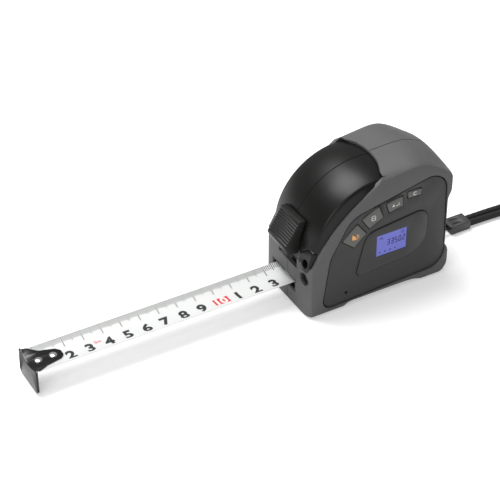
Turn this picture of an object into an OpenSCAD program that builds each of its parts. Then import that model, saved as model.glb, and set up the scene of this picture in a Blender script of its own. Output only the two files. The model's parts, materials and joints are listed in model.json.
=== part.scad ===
// Laser distance meter with a pull-out steel tape.
// +X runs to the rear, so the tape leaves towards -X; the display side faces -Y; +Z is up.
// Body coordinates: x = 0 is the front face, y = 0 the seam between the halves, z = 0 the base.
// place() shifts them so that the origin lies under the middle of the whole model.

/* [Body] */
// Length of the body, front face to rear rests
body_l = 82; // [80:1:110]
// Width of the body over both grips
body_w = 42.7; // [42:0.1:60]
// Height of the body at its crown
body_h = 74; // [72:1:95]
// Wall of the moulded case
wall = 1.6; // [1.2:0.1:2.4]
// Thickness of the moulded-over grip
grip_t = 2; // [1.5:0.1:3]
// Height of the arch under the body, between its two feet
arch_h = 1.8; // [0.5:0.1:4]
// Height at which the dark front cover starts on the front face
cover_start = 30.1; // [28:0.1:36]

/* [Cover] */
// Radius of the round front cover at the seam
cover_r = 42.5; // [40:0.5:46]
// How far the grip stands proud of the cover where they meet on top
cover_step = 2; // [0.5:0.1:4]
// Distance behind the cover's centre at which the grip starts on top
step_back = 1.5; // [0:0.5:6]

/* [Tape] */
// Width of the steel blade
tape_w = 19; // [16:0.5:25]
// Thickness of the blade
tape_t = 0.2; // [0.12:0.01:0.3]
// Sideways place of the tape's middle
tape_y = 3.5; // [2:0.5:6]
// Height of the blade's lowest line above the base
tape_z = 11.2; // [10:0.1:14]
// Radius of the blade's hollow section
tape_curve = 20.2; // [16:0.1:30]
// Half the angle that the blade's section turns through
tape_half_angle = 27; // [20:1:32]
// Length of blade drawn out in front of the body
tape_out = 137.6; // [20:0.1:400]
// Outer radius of the wound coil
coil_r = 23; // [18:0.5:24]
// Radius of the drum's hub
hub_r = 13.5; // [10:0.5:15]
// How far the drum's flanges stand out past the coil
flange_rim = 2.5; // [1:0.1:3]
// Radius of the axle
axle_r = 3.5; // [2:0.1:5]

/* [Hook] */
// Thickness of the hook's sheet
hook_t = 1; // [0.8:0.1:1.4]
// Width of the hook's plate
hook_w = 20.4; // [14:0.1:24]
// Length of the hook's tongue on the blade
tongue_l = 17; // [12:0.5:25]
// How far the hook slides on its rivets
hook_play = 1; // [0.5:0.1:1.5]
// Radius of a rivet's shank
rivet_r = 1.1; // [0.8:0.1:1.5]

/* [Lock] */
// Width of the lock slider
slider_w = 17; // [12:0.5:20]
// Travel of the lock slider
slider_travel = 4; // [2:0.5:6]
// Number of grip ribs on the slider
slider_ribs = 9; // [3:1:12]

/* [Display and keys] */
// Width of the display's glass
lcd_w = 24; // [18:0.5:30]
// Height of the display's glass
lcd_h = 17; // [12:0.5:20]
// Place of the display's middle along the body
lcd_x = 46.5; // [44:0.5:50]
// Height of the display's middle
lcd_z = 31; // [28:0.5:33]
// Travel of a key
key_travel = 0.5; // [0.3:0.1:0.8]
// Gap round each key
key_gap = 0.4; // [0.2:0.1:0.8]

/* [Optics] */
// Distance of the optics' centre line from the side of the body
optic_inset = 5.95; // [5.8:0.05:7]
// Height of the laser window
laser_z = 22; // [20:0.5:23]
// Radius of the laser window
laser_r = 3.5; // [2.5:0.1:4]
// Height of the receiver lens
receiver_z = 31; // [30:0.5:33]
// Radius of the receiver lens
receiver_r = 2.3; // [1.5:0.1:3]

/* [Strap] */
// Diameter of the braided strap
strap_d = 3.6; // [3:0.1:4]
// Diameter of the thin string
string_d = 1.3; // [0.8:0.1:1.6]
// Sideways place of the strap's middle
strap_y = 6.4; // [4:0.1:10]
// Height of the string where it loops round its pin
string_z = 7.5; // [6.5:0.5:8]

/* [Hidden] */
$fn = 48;

// Clearances
fit = 0.1; // between fixed pieces that fit into each other
run = 0.05; // radial, between an axle and what turns on it
slide = 0.15; // beside a sliding piece
seam = 0.02; // at the middle seam
panel_gap = 0.5; // visible gap round the side panels

// Stations across the body, on the display side; the far side mirrors them
half_w = body_w / 2;
core_y = half_w - grip_t; // outer face of the case under the grip
bay_y = core_y - wall; // inner face of the case's side
panel_sunk = 0.6; // the panels lie this far below the grip
panel_face = half_w - panel_sunk;

// Stations along and up the body
cover_x = cover_r + 0.5;
cover_z = body_h - cover_step - cover_r;
floor_z = grip_t + arch_h; // underside of the case under the grip
rear_core = body_l - 4; // rear face of the case under the grip
step_x = cover_x + step_back;
parting_c = [body_l - 4, 1.4];
parting_r = norm([parting_c[0] - 2.7, cover_start - parting_c[1]]);
far_out = 200;

// Stations of the tape and its reel
reel_x = cover_x;
reel_z = tape_z + 0.1 + coil_r;
flange_r = coil_r + flange_rim;
flange_t = 1;
drum_gap = 0.2; // between the coil and a flange
flange_in = tape_w / 2 + drum_gap;
wall_gap = 0.9; // between the drum and the inner wall
inner_wall_t = 1.2;
inner_face = tape_y - flange_in - flange_t - wall_gap; // reel side of the inner wall
blade_end = reel_x - 14; // where the blade starts to flatten
mouth_h = 5.6;
mouth_w = tape_w + 1.4;
mouth_z = tape_z - 1.6;
guard_t = 1;
guard_l = 6.8;

// Stations of the electronics, counted outwards from the seam
lens_face = half_w - 0.2;
lens_t = 1.3;
glass_t = 1.8;
glass_face = lens_face - lens_t - fit;
light_t = 1.5;
board_t = 1.2;
board_face = glass_face - glass_t - light_t - 2 * fit;
board_back = board_face - board_t;
switch_h = 0.7; // height of a key's switch on the board
battery_gap = 1.15; // between the cell and the board
battery_t = board_back - battery_gap + inner_face - inner_wall_t;
optic_y = optic_inset - half_w;

// Screws that join the halves
screw_at = [[13, 7.5], [body_l - 11.5, 11], [body_l - 12.5, body_h - 18]];
screw_r = 1.3;
screw_head_r = 2.4;
screw_head_t = 1.5;
boss_r = 2.7;

// Keys: angles of the ends, inner and outer radius, about one centre
keys_c = [57, 8];
key_cells = [
    [139.3, 126.9, 42.3, 51],
    [123.3, 111.6, 43.2, 51],
    [106.8, 96.3, 43.6, 49.3],
    [92.4, 83.6, 46.6, 50.2]
];

// The lock slider's straight track, through one point on the cover
track_p = [4.6, cover_z + 21.5];
track_d = [-0.22, -0.975];
slider_top = cover_z + 21.5;
slider_low = cover_z + 3.5;
slide_l = (slider_top - slider_low) / -track_d[1]; // its length along the track
rib_end = 0.72 * slide_l; // where the ribs stop, above the nose
slider_nose = 8.1; // how far the nose stands in front of the track
channel_z = 24;
channel_depth = 2.6;
shoe_x = guard_l + 1.7; // front of the pad, behind the mouth's guard

// The hook
hook_floor = 0.3;
tongue_t = 0.8;
tongue_half_angle = 29; // cut back by its outline
rivet_at = [4.6, 12.2]; // along the tongue, from the plate
rivet_head_r = 2;
rivet_head_t = 0.6;

// The strap
string_r = string_d / 2;
pin_r = 1;
pin_x = body_l - 5.6;
joint_x = body_l + 18; // front end of the strap's joint
joint_l = 12;
joint_w = 8.4;
leg_y = 1.85; // each strap leg from the joint's middle
leg_z = 2.1;
joint_h = 5;
joint_bar_x = joint_x + 2.4;

// Length of body and place of the strap that its route is written for
route_for = [82, 6.4];
// Route of the strap's middle, from the joint round its loop and back into the joint
strap_route = [
    [110.2, 8.25, 2.1], [116, 8.3, 2], [123, 8.2, 2], [131, 7.9, 2], [139.2, 7.3, 2],
    [149.2, 4.6, 2], [156.6, -2.8, 2], [159.3, -13, 2], [156.6, -23.2, 2], [149.2, -30.6, 2],
    [145.4, -34, 2], [142.2, -38.2, 2], [139.4, -42.7, 2], [135.2, -46.4, 2], [129.6, -47.7, 2],
    [124.6, -45.6, 2], [121.8, -40.7, 2], [122.6, -35.4, 2], [126.6, -31.3, 2], [131.8, -29.5, 2],
    [137, -29, 2], [142.2, -29, 2], [147.6, -27.2, 2], [153.2, -21.2, 2], [155.4, -13, 2],
    [153.2, -4.8, 2], [147.2, 1.2, 2], [138.8, 3.4, 2], [131, 3.9, 2], [123, 4.3, 2],
    [116, 4.5, 2], [110.2, 4.55, 2.1]
];

// Middle of the whole model along the body, from the hook's face to the rear rests
origin_x = (body_l - tape_out - hook_t) / 2;

module place() {
    translate([-origin_x, 0, 0]) children();
}

// An outline drawn in x and z, made solid from y0 to y1
module slab(y0, y1) {
    translate([0, y1, 0]) rotate([90, 0, 0]) linear_extrude(y1 - y0) children();
}

module rod_y(r, y0, y1, x, z) {
    translate([x, y1, z]) rotate([90, 0, 0]) cylinder(r = r, h = y1 - y0);
}

module rod_x(r, x0, x1, y, z) {
    translate([x0, y, z]) rotate([0, 90, 0]) cylinder(r = r, h = x1 - x0);
}

module block(x0, x1, y0, y1, z0, z1) {
    translate([x0, y0, z0]) cube([x1 - x0, y1 - y0, z1 - z0]);
}

// The rear and its sloping top, inset by i all along
function rear_line(i) = [
    [cover_x, body_h - i],
    [body_l - 22, body_h - 0.5 - i],
    [body_l - 16, body_h - 3 - i],
    [body_l - 9.7 - 0.4 * i, body_h - 6.6 - 0.9 * i],
    [body_l - 3.6 - 0.6 * i, body_h - 11 - 0.8 * i],
    [body_l - 0.8 - 0.8 * i, body_h - 13.3 - 0.6 * i]
];

// Everything inside the front cover's circle and behind the front face, inset by i
module front_outline(i) {
    intersection() {
        translate([cover_x, cover_z]) circle(r = cover_r - i, $fn = 128);
        translate([i, cover_z]) square([cover_x - i, cover_r]);
    }
    translate([i, i]) square([cover_x - i, cover_z - i + 0.01]);
}

// The body from the side, with its feet and its rear rests
module body_outline() {
    difference() {
        union() {
            front_outline(0);
            polygon(concat([[cover_x - 0.01, 0]], [[cover_x - 0.01, body_h]], rear_line(0), [
                [body_l, body_h - 14.5],
                [body_l, body_h - 23.7],
                [body_l - 2, body_h - 28],
                [body_l - 2, 16],
                [body_l, 14.6],
                [body_l, 6],
                [body_l - 1, 3.6],
                [body_l - 3, 1],
                [body_l - 5, 0]
            ]));
            translate([step_x - 6, cover_z]) square([6.1, cover_r + cover_step]);
        }
        polygon([
            [20.5, -1], [22.5, arch_h - 0.4], [25, arch_h],
            [body_l - 27, arch_h], [body_l - 21, arch_h - 0.4], [body_l - 17, -1]
        ]);
    }
}

// The case under the grip, from the side
module core_outline(i) {
    translate([grip_t + i, floor_z + i])
        square([rear_core - grip_t - 2 * i, cover_z - floor_z - i + 0.01]);
    polygon(concat([[cover_x, cover_z]], rear_line(grip_t + i), [
        [rear_core - i, body_h - 15.5 - grip_t],
        [rear_core - i, cover_z]
    ]));
}

// The space inside the case, from the side
module cavity_outline() {
    core_outline(wall);
    intersection() {
        translate([cover_x, cover_z]) circle(r = cover_r - 4.4, $fn = 96);
        translate([0, cover_z]) square([cover_x + 0.01, cover_r]);
    }
}

module parting_disc(grow) {
    translate(parting_c) circle(r = parting_r + grow, $fn = 128);
}

// Outline of a side panel, grown by g
module panel_outline(g) {
    hull() {
        translate([13.5, 8.5]) circle(r = 5 + g, $fn = 32);
        translate([body_l - 12.5, 15]) circle(r = 9 + g, $fn = 32);
        translate([body_l - 14.5, body_h - 21.5]) circle(r = 10 + g, $fn = 32);
        translate([31, body_h - 31.5]) circle(r = 12 + g, $fn = 32);
        translate([24, 29]) circle(r = 12.5 + g, $fn = 32);
    }
}

// Outline of the raised display lens, grown by g
module lens_outline(g) {
    hull() {
        translate([29.6, 19.4]) circle(r = 2.6 + g, $fn = 24);
        translate([55, 31]) circle(r = 12.2 + g, $fn = 32);
        translate([61.4, 38.5]) circle(r = 6 + g, $fn = 24);
        translate([38, 34.4]) circle(r = 7.4 + g, $fn = 24);
    }
}

// Outline of one key, grown by g
module key_outline(k, g) {
    c = key_cells[k];
    turn = g / c[3] * 180 / PI;
    a0 = c[1] - turn;
    a1 = c[0] + turn;
    reach = 80;
    intersection() {
        translate(keys_c) difference() {
            circle(r = c[3] + g, $fn = 96);
            circle(r = c[2] - g, $fn = 96);
        }
        translate(keys_c) polygon([
            [0, 0],
            reach * [cos(a0), sin(a0)],
            reach * [cos(a1), sin(a1)]
        ]);
    }
}

function key_middle(k) = let (
    c = key_cells[k],
    a = (c[0] + c[1]) / 2,
    r = (c[2] + c[3]) / 2
) keys_c + r * [cos(a), sin(a)];

// Rounded section of the front cover, from the seam to the side, as radius and distance
cover_turn = [for (k = [0:6]) let (y = core_y - 2.4, s = k / 6)
    [cover_r - 1.7 * s * s * s, y * s]];

module cover_quarter() {
    edge = core_y + 1.2;
    translate([cover_x, 0, cover_z]) rotate([90, 0, 0]) rotate([0, 0, 90])
        rotate_extrude(angle = 90, $fn = 96)
        polygon(concat([[cover_r - 8, 0]], cover_turn, [
            [cover_r - 4, core_y + 0.2], [cover_r - 6.5, edge], [cover_r - 14, edge],
            [cover_r - 14, core_y - wall], [cover_r - 8, core_y - wall]
        ]));
}

// One moulded half, as on the display side
module case_shell() {
    difference() {
        union() {
            slab(-core_y, -seam) core_outline(0);
            cover_front();
            slab(-core_y, -bay_y) intersection() {
                translate([cover_x, cover_z]) circle(r = cover_r - 4, $fn = 96);
                translate([0, cover_z]) square([cover_x + 0.01, cover_r]);
            }
        }
        slab(-bay_y, 1) cavity_outline();
        slab(-half_w - 1, -core_y) union() {
            parting_disc(fit);
            square([far_out, cover_start + fit]);
        }
        slab(-half_w - 1, 1) translate([-5, -1]) square([grip_t + 5, cover_start + 1]);
        block(step_x, far_out, -half_w, 1, cover_z + cover_r - 6, body_h + 5);
    }
    intersection() {
        slab(-core_y, -seam) core_outline(0);
        difference() {
            block(step_x - 0.01, far_out, -half_w, -seam, cover_z + cover_r - 6, body_h);
            slab(-bay_y, 1) cavity_outline();
        }
    }
}

// The round front with its side edges rolled over
module cover_front() {
    difference() {
        cover_quarter();
        block(-1, far_out, -seam, far_out, -1, far_out);
        block(step_x, far_out, -half_w, 1, -1, far_out);
    }
    low = min(cover_start, cover_z);
    difference() {
        translate([0, 0, low]) linear_extrude(cover_z - low + 0.01) polygon(concat(
            [[grip_t + wall, -seam]],
            [for (p = cover_turn) [cover_x - p[0], -max(p[1], seam)]],
            [[cover_x - cover_r + 4, -core_y - 0.2], [grip_t + wall + 3, -core_y - 0.2],
             [grip_t + wall + 3, -bay_y], [grip_t + wall, -bay_y]]
        ));
        block(-1, far_out, -half_w, -half_w + 0.01, 0, far_out);
    }
}

// The slot that the lock slider runs in
module lock_channel() {
    translate([track_p[0] + slide, -slider_w / 2 - slide, track_p[1]])
        rotate([0, atan2(-track_d[0], -track_d[1]), 0])
        translate([-20, 0, -slide_l - slider_travel - 2])
        cube([20, slider_w + 2 * slide, slide_l + slider_travel + 5]);
    block(-6, channel_depth, -slider_w / 2 - slide, slider_w / 2 + slide, channel_z, slider_low + 1);
}

module lock_arm_slot() {
    block(-2, 9, -3 - slide, 3 + slide, slider_low + 1 - slider_travel - 0.6, slider_low + 7.6);
}

module mouth_hole(g) {
    block(-3, guard_l + 1, tape_y - mouth_w / 2 - guard_t - g, tape_y + mouth_w / 2 + guard_t + g,
        mouth_z - guard_t - g, mouth_z + mouth_h + guard_t + g);
}

module optic_holes() {
    rod_x(laser_r + fit, -2, grip_t, optic_y, laser_z);
    rod_x(laser_r - 0.8, 0, grip_t + wall + 3, optic_y, laser_z);
    rod_x(receiver_r + fit, -2, 2.3, optic_y, receiver_z);
    rod_x(receiver_r - 0.5, 0, grip_t + wall + 5, optic_y, receiver_z);
}

module strap_slot() {
    block(pin_x - 3.4, body_l + 1, strap_y - 3.4, strap_y + 3.4, string_z - 2.6, string_z + 2.6);
}

module strap_pin_hole(g) {
    translate([pin_x, strap_y, string_z - 3.5 - g]) cylinder(r = pin_r + g, h = 7 + 2 * g);
}

module socket_hole() {
    block(rear_core - wall - 1, body_l + 1, -board_back - fit, -board_back + 2.9, 22.9, 31.1);
}

module screw_bosses(inner, outer) {
    for (p = screw_at) rod_y(boss_r, inner, outer, p[0], p[1]);
}

module case_left() {
    color([0.1, 0.1, 0.11]) place() difference() {
        union() {
            case_shell();
            intersection() {
                screw_bosses(-bay_y - 0.1, -seam);
                slab(-bay_y - 0.1, -seam) core_outline(0);
            }
        }
        for (p = screw_at) rod_y(screw_r, -bay_y + 3, 1, p[0], p[1]);
        lock_channel();
        lock_arm_slot();
        mouth_hole(fit);
        optic_holes();
        block(lcd_x - lcd_w / 2 - fit, lcd_x + lcd_w / 2 + fit, -half_w, -bay_y + 0.5,
            lcd_z - lcd_h / 2 - fit, lcd_z + lcd_h / 2 + fit);
        for (k = [0:3]) slab(-half_w, -bay_y + 0.5) key_outline(k, key_gap + 0.8);
        rod_y(0.8, -half_w, -bay_y + 1, 21.4, 9.1);
        socket_hole();
        strap_slot();
    }
}

module case_right() {
    color([0.1, 0.1, 0.11]) place() difference() {
        union() {
            mirror([0, 1, 0]) case_shell();
            intersection() {
                screw_bosses(seam, bay_y + 0.1);
                slab(seam, bay_y + 0.1) core_outline(0);
            }
            rod_y(axle_r + 2.5, tape_y + flange_in + flange_t + 0.4, bay_y + 0.1, reel_x, reel_z);
            block(pin_x - 5, rear_core, 1, strap_y + 5, floor_z + wall - 0.1, string_z + 5);
        }
        rod_y(axle_r + fit, 0, bay_y, reel_x, reel_z);
        for (p = screw_at) {
            rod_y(screw_r + 0.2, 0, half_w, p[0], p[1]);
            rod_y(screw_head_r + 0.2, core_y - screw_head_t, half_w, p[0], p[1]);
        }
        lock_channel();
        lock_arm_slot();
        mouth_hole(fit);
        strap_slot();
        strap_pin_hole(0.03);
    }
}

// Convex bounds that bevel the grip's outer edges
module bevel_bounds() {
    inset = 1.2;
    hull() for (p = [[half_w, inset], [half_w - 3.4, 0]]) slab(-p[0], 1) polygon([
        [p[1], -1], [p[1], cover_z], [15 + p[1], body_h + 6], [40, body_h + 10 - p[1]],
        [body_l - 22, body_h - 0.5 - 1.4 * p[1]], [body_l - 9.7 - 0.3 * p[1], body_h - 5.6 - p[1]],
        [body_l - p[1] * 0.8, body_h - 12 - p[1]], [body_l - p[1] * 0.8, -1]
    ]);
}

// One grip, as on the display side
module grip_shell() {
    intersection() {
        difference() {
            union() {
                slab(-half_w, -core_y) intersection() {
                    body_outline();
                    union() {
                        parting_disc(0);
                        square([far_out, cover_start]);
                    }
                    square([far_out, far_out]);
                }
                slab(-core_y - 0.01, -seam) difference() {
                    body_outline();
                    core_outline(-0.01);
                    translate([-1, cover_start]) square([cover_x + 1, far_out]);
                    translate([cover_x - 1, cover_z]) square([step_back + 1, cover_r]);
                    translate([grip_t, floor_z]) square([cover_x, cover_z]);
                }
                slab(-core_y - 0.01, -seam)
                    translate([step_x - 6, cover_z + cover_r + fit]) square([7, cover_step - fit]);
            }
            slab(-half_w - 1, -core_y + 0.01) panel_outline(panel_gap);
        }
        bevel_bounds();
    }
}

module grip_left() {
    color([0.33, 0.33, 0.34]) place() difference() {
        grip_shell();
        lock_channel();
        mouth_hole(fit);
        optic_holes();
        socket_hole();
        strap_slot();
    }
}

module grip_right() {
    color([0.33, 0.33, 0.34]) place() difference() {
        mirror([0, 1, 0]) grip_shell();
        lock_channel();
        mouth_hole(fit);
        strap_slot();
    }
}

module keypad_panel() {
    color([0.2, 0.2, 0.21]) place() difference() {
        slab(-panel_face, -core_y - 0.01) panel_outline(0);
        slab(-half_w, 0) lens_outline(fit);
        for (k = [0:3]) slab(-half_w, 0) key_outline(k, key_gap);
        rod_y(0.8, -half_w, 0, 21.4, 9.1);
    }
}

module plain_panel() {
    color([0.2, 0.2, 0.21]) place() difference() {
        slab(core_y + 0.01, panel_face) panel_outline(0);
        for (p = screw_at) rod_y(screw_head_r + 0.4, 0, half_w, p[0], p[1]);
    }
}

module display_lens() {
    color([0.16, 0.16, 0.18]) place() slab(-lens_face, -lens_face + lens_t) lens_outline(0);
}

module display_glass() {
    color([0.45, 0.5, 0.95]) place() block(lcd_x - lcd_w / 2, lcd_x + lcd_w / 2,
        -glass_face, -glass_face + glass_t, lcd_z - lcd_h / 2, lcd_z + lcd_h / 2);
}

module backlight() {
    y = -glass_face + glass_t + fit;
    color("white") place() block(lcd_x - lcd_w / 2 + 1, lcd_x + lcd_w / 2 - 1,
        y, y + light_t, lcd_z - lcd_h / 2 + 0.5, lcd_z + lcd_h / 2 - 0.5);
}

// A key: its cap, the flange that keeps it behind the panel, and the stem over its switch
module key_cap(k) {
    m = key_middle(k);
    color([0.4, 0.4, 0.38]) place() {
        slab(-half_w + 0.15, -core_y + 0.2) key_outline(k, 0);
        slab(-core_y + 0.15, -core_y + 0.75) key_outline(k, 0.8);
        rod_y(1.5, -core_y + 0.7, -board_face - switch_h - key_travel - fit, m[0], m[1]);
    }
}

module key_laser() { key_cap(0); }
module key_volume() { key_cap(1); }
module key_reference() { key_cap(2); }
module key_clear() { key_cap(3); }

module key_switches() {
    color("silver") place() for (k = [0:3]) {
        m = key_middle(k);
        block(m[0] - 1.6, m[0] + 1.6, -board_face - switch_h, -board_face, m[1] - 1.6, m[1] + 1.6);
    }
}

module main_board() {
    color("darkgreen") place() difference() {
        slab(-board_face, -board_back) polygon([
            [33, 13], [33, 37.8], [18.6, 37.8], [18.6, 48], [27, 56], [38, 60.5],
            [body_l - 16, 60.5], [body_l - 9.5, 55], [body_l - 6.2, 50], [body_l - 6.2, 18],
            [body_l - 12, 16], [body_l - 16, 13]
        ]);
        for (p = screw_at) rod_y(boss_r + 0.4, -half_w, 0, p[0], p[1]);
    }
}

module battery_cell() {
    y = inner_face - inner_wall_t;
    color("gainsboro") place() block(32.5, 66, y - battery_t - 0.05, y - 0.05, 12, 36.5);
}

module buzzer() {
    color([0.15, 0.15, 0.15]) place() difference() {
        rod_y(4.1, -bay_y + 0.02, -bay_y + 2.4, 21.4, 10);
        rod_y(0.8, -bay_y - 1, -bay_y + 1.2, 21.4, 9.1);
    }
}

module charge_socket() {
    color("silver") place() difference() {
        block(rear_core - wall - 4, rear_core - 0.4, -board_back + 0.02, -board_back + 2.7, 23.2, 30.8);
        block(rear_core - wall - 2, rear_core, -board_back + 0.5, -board_back + 2.2, 23.8, 30.2);
    }
}

module laser_module() {
    color([0.25, 0.25, 0.27]) place() difference() {
        block(5.8, 30, -bay_y + 0.2, inner_face - inner_wall_t - 0.05, 16, 36.4);
        rod_x(2.3, 0, 26, optic_y, laser_z);
        rod_x(receiver_r + 0.6, 0, 24, optic_y, receiver_z);
    }
}

module laser_diode() {
    color("goldenrod") place() rod_x(2.2, 18, 25.9, optic_y, laser_z);
}

module laser_window() {
    color([0.5, 0.1, 0.1]) place() rod_x(laser_r, grip_t - 1.1, grip_t - 0.02, optic_y, laser_z);
}

module receiver_lens() {
    color([0.1, 0.1, 0.15]) place() rod_x(receiver_r, 1.3, 2.28, optic_y, receiver_z);
}

module inner_wall() {
    color([0.3, 0.3, 0.3]) place() difference() {
        slab(inner_face - inner_wall_t, inner_face) {
            edge = wall + slide;
            translate([grip_t + edge, floor_z + edge])
                square([rear_core - grip_t - 2 * edge, cover_z - floor_z - edge]);
            translate([cover_x, cover_z - 0.1])
                square([rear_core - cover_x - edge, screw_at[2][1] - boss_r - cover_z - 1]);
            intersection() {
                translate([cover_x, cover_z]) circle(r = cover_r - 4.4 - slide, $fn = 96);
                translate([0, cover_z - 0.1]) square([cover_x + 12, cover_r]);
            }
        }
        for (p = screw_at) rod_y(boss_r + 0.2, -half_w, 0, p[0], p[1]);
    }
}

module reel_axle() {
    color("silver") place() rod_y(axle_r, inner_face + 0.05, bay_y - 0.02, reel_x, reel_z);
}

module reel_drum() {
    near = tape_y - flange_in;
    color("dimgray") place() difference() {
        union() {
            rod_y(flange_r, near - flange_t, near, reel_x, reel_z);
            rod_y(hub_r, near - 0.01, tape_y + flange_in - 0.02, reel_x, reel_z);
        }
        rod_y(hub_r - 1.2, near + 0.2, tape_y + flange_in, reel_x, reel_z);
        rod_y(axle_r + run, near - 3, near + 3, reel_x, reel_z);
    }
}

module reel_flange() {
    far = tape_y + flange_in;
    color("dimgray") place() difference() {
        rod_y(flange_r, far, far + flange_t, reel_x, reel_z);
        rod_y(axle_r + run, far - 1, far + 3, reel_x, reel_z);
    }
}

module tape_coil() {
    color("gold") place() difference() {
        rod_y(coil_r, tape_y - tape_w / 2, tape_y + tape_w / 2, reel_x, reel_z);
        rod_y(hub_r + fit, tape_y - tape_w, tape_y + tape_w, reel_x, reel_z);
    }
}

// A flat spiral between the axle and the drum's hub
module power_spring() {
    turns = 5;
    steps = 16;
    r0 = axle_r + 0.6;
    r1 = hub_r - 1.2 - 0.5;
    t = 0.35;
    n = turns * steps;
    function at(k, off) = let (a = 360 * k / steps, r = r0 + (r1 - r0) * k / n + off)
        [r * cos(a), r * sin(a)];
    color("slategray") place() translate([reel_x, 0, reel_z])
        slab(tape_y - tape_w / 2 + 1, tape_y + tape_w / 2 - 1)
        polygon(concat([for (k = [0:n]) at(k, t / 2)], [for (k = [n:-1:0]) at(k, -t / 2)]));
}

// The curved sheet between two radii of the blade's section
module blade_shell(x0, x1, r0, r1, half) {
    translate([x0, tape_y, tape_z + tape_curve]) rotate([0, 90, 0]) rotate([0, 0, -half])
        rotate_extrude(angle = 2 * half, $fn = 128) translate([r0, 0]) square([r1 - r0, x1 - x0]);
}

module blade() {
    color("white") place() {
        blade_shell(0.2 + hook_play - tape_out, blade_end, tape_curve - tape_t, tape_curve,
            tape_half_angle);
        block(blade_end - 0.5, reel_x, tape_y - tape_w / 2, tape_y + tape_w / 2,
            tape_z - 0.15, tape_z + 0.05);
    }
}

// Outline of the tongue from above, and of the slots that its rivets slide in
module tongue_outline() {
    difference() {
        polygon([
            [0, -hook_w / 2 + 1.2], [2.5, -hook_w / 2 + 1.6], [7, -5.6], [tongue_l - 2, -3.6],
            [tongue_l, -1.6], [tongue_l, 1.6], [tongue_l - 2, 3.6], [7, 5.6],
            [2.5, hook_w / 2 - 1.6], [0, hook_w / 2 - 1.2]
        ]);
        for (s = rivet_at) {
            translate([s, 0]) circle(r = rivet_r + 0.08);
            translate([s - hook_play, 0]) circle(r = rivet_r + 0.08);
            translate([s - hook_play, -rivet_r - 0.08]) square([hook_play, 2 * rivet_r + 0.16]);
        }
    }
}

module hook() {
    under = tape_curve - tape_t - 0.05; // radius of the tongue's lower face
    color([0.08, 0.08, 0.08]) place() {
        intersection() {
            blade_shell(-tape_out - 0.01, tongue_l - tape_out + 1, under - tongue_t, under,
                tongue_half_angle);
            translate([-tape_out - 0.01, tape_y, 0]) linear_extrude(30) tongue_outline();
        }
        difference() {
            translate([-tape_out - hook_t, tape_y, 0]) rotate([90, 0, 90]) linear_extrude(hook_t) union() {
                translate([-hook_w / 2, 3]) square([hook_w, 11.2]);
                translate([-hook_w / 2 + 2, hook_floor]) square([hook_w - 4, 3]);
                for (s = [-1, 1]) translate([s * (hook_w / 2 - 2.7), hook_floor + 2.7]) circle(r = 2.7);
            }
            translate([-tape_out - 2, tape_y, tape_z + tape_curve]) rotate([0, 90, 0])
                cylinder(r = under - tongue_t, h = 4, $fn = 128);
        }
    }
}

module hook_rivets() {
    top = tape_z + tape_t + 0.05 + tongue_t; // top of the tongue on its middle line
    color("silver") place() for (s = rivet_at) translate([s - tape_out, tape_y, 0]) {
        translate([0, 0, tape_z + tape_t + 0.06]) cylinder(r = rivet_r, h = tongue_t + 0.3);
        translate([0, 0, top + 0.2]) cylinder(r = rivet_head_r, h = rivet_head_t);
    }
}

module mouth_guard() {
    color([0.12, 0.12, 0.12]) place() difference() {
        block(0.2, guard_l, tape_y - mouth_w / 2 - guard_t, tape_y + mouth_w / 2 + guard_t,
            mouth_z - guard_t, mouth_z + mouth_h + guard_t);
        block(-1, guard_l + 1, tape_y - mouth_w / 2, tape_y + mouth_w / 2, mouth_z, mouth_z + mouth_h);
        block(-1, guard_l + 1, tape_y - 5, tape_y + 5, mouth_z, mouth_z + mouth_h + 0.4);
    }
}

// Side view of the slider: a top plate, a ribbed slope down to the nose, and a straight back
function along(s, out) = track_p + s * track_d + out * [track_d[1], -track_d[0]];

module lock_slider() {
    rib_p = (rib_end - 1.2) / slider_ribs;
    lean = (slider_nose - 3.6) / rib_end;
    color([0.13, 0.13, 0.13]) place() {
        slab(-slider_w / 2, slider_w / 2) polygon(concat(
            [along(0, 0), along(0.6, 3.6)],
            [for (k = [0:slider_ribs - 1]) for (q = [0.15, 0.55, 0.6, 0.98])
                along(1.2 + rib_p * (k + q), 3.7 + lean * rib_p * (k + q) + (q > 0.56 ? -0.5 : 0))],
            [along(rib_end + 0.4, slider_nose), along(rib_end + 1.6, slider_nose + 0.2),
             along(slide_l, slider_nose - 2.2), along(slide_l, 0)]
        ));
        arm = slider_low + 2;
        block(-1, shoe_x + 4, -3, 3, arm, arm + 5);
        block(shoe_x + 1.5, shoe_x + 4, -3, 3, tape_z + 9.8, arm + 1);
    }
}

module lock_shoe() {
    color([0.35, 0.2, 0.1]) place() difference() {
        block(shoe_x, shoe_x + 7, tape_y - 7, tape_y + 7, tape_z + 7.4, tape_z + 10.6);
        block(shoe_x + 1.4, shoe_x + 4.1, -3.1, 3.1, tape_z + 9.7, tape_z + 12);
    }
}

module case_screws() {
    color("silver") place() for (p = screw_at) {
        rod_y(screw_r, -bay_y + 4, core_y - screw_head_t + 0.1, p[0], p[1]);
        difference() {
            rod_y(screw_head_r, core_y - screw_head_t + 0.02, core_y - 0.1, p[0], p[1]);
            block(p[0] - 1.5, p[0] + 1.5, core_y - 0.9, core_y + 1, p[1] - 0.3, p[1] + 0.3);
            block(p[0] - 0.3, p[0] + 0.3, core_y - 0.9, core_y + 1, p[1] - 1.5, p[1] + 1.5);
        }
    }
}

module strap_pin() {
    color("silver") place() translate([pin_x, strap_y, string_z - 3.5]) cylinder(r = pin_r, h = 7);
}

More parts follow.
